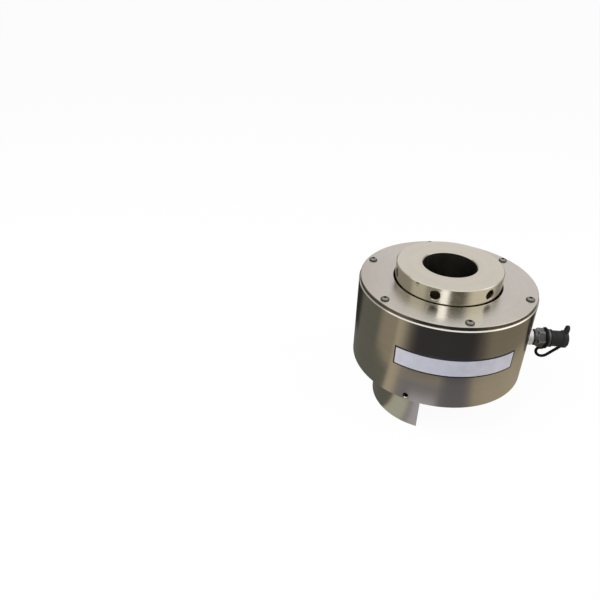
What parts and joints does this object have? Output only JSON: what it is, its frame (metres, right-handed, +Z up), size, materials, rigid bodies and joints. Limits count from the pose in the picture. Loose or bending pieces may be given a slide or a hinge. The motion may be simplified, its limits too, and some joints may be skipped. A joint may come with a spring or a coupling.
{
  "type": "hydraulic bolt tensioner",
  "caption": "Round hydraulic bolt tensioner: a steel ring ram on a windowed bridge, with a threaded puller ring, a bolted cover plate and a capped oil nipple.",
  "frame": {"origin": "on the stud axis, in the plane of the bridge's foot, where the tool stands on the bolted joint", "axes": "+Z up along the stud axis, +X out along the oil port and nipple"},
  "size_m": [0.2754, 0.22, 0.2027],
  "materials": {
    "turned_stainless": "fine-turned",
    "satin_stainless": "satin",
    "screw_steel": "satin",
    "ground_steel": "ground",
    "spring_steel": "drawn",
    "plated_steel": "bright plated",
    "black_oxide": "black oxide",
    "bronze": "turned",
    "seal_rubber": "matt",
    "ring_plastic": "matt",
    "cap_rubber": "matt moulded"
  },
  "bodies": {
    "cylinder": {"cylinder_body": "turned_stainless", "cover_plate": "satin_stainless", "cover_screws": "screw_steel", "bridge_set_screws": "screw_steel", "return_springs": "spring_steel", "port_adaptor": "plated_steel", "port_seal": "seal_rubber", "nipple_washer": "seal_rubber", "nipple": "black_oxide", "poppet_spring": "spring_steel", "spring_retainer": "spring_steel"},
    "bridge": {"bridge": "turned_stainless"},
    "piston": {"piston": "ground_steel", "upper_seal": "seal_rubber", "upper_backup_ring": "ring_plastic", "wear_ring": "bronze", "tail_seal": "seal_rubber", "tail_backup_ring": "ring_plastic"},
    "puller": {"puller": "satin_stainless"},
    "poppet": {"poppet": "bronze"},
    "tether_ring": {"tether_ring": "cap_rubber", "tether": "cap_rubber"},
    "dust_cap": {"dust_cap": "cap_rubber"}
  },
  "joints": [
    {"name": "piston_stroke", "type": "slide", "parent": "cylinder", "child": "piston", "axis": [0, 0, 1], "range_m": [0, 0.01], "stiffness_N_per_m": 9000, "springref_m": -0.004, "deforming": ["return_springs"]},
    {"name": "puller_spin", "type": "hinge", "parent": "piston", "child": "puller", "pos_m": [0, 0, 0.1667], "axis": [0, 0, 1], "continuous": true},
    {"name": "bridge_turn", "type": "hinge", "parent": "cylinder", "child": "bridge", "pos_m": [0, 0, 0.082], "axis": [0, 0, 1], "continuous": true},
    {"name": "poppet_lift", "type": "slide", "parent": "cylinder", "child": "poppet", "axis": [-1, 0, 0], "range_m": [0, 0.0025], "stiffness_N_per_m": 300, "springref_m": -0.003, "deforming": ["poppet_spring"]},
    {"name": "tether_swivel", "type": "hinge", "parent": "cylinder", "child": "tether_ring", "pos_m": [0.1374, 0, 0.1035], "axis": [1, 0, 0], "continuous": true},
    {"name": "cap_pull", "type": "slide", "parent": "tether_ring", "child": "dust_cap", "axis": [1, 0, 0], "range_m": [0, 0.022], "deforming": ["tether"]}
  ]
}
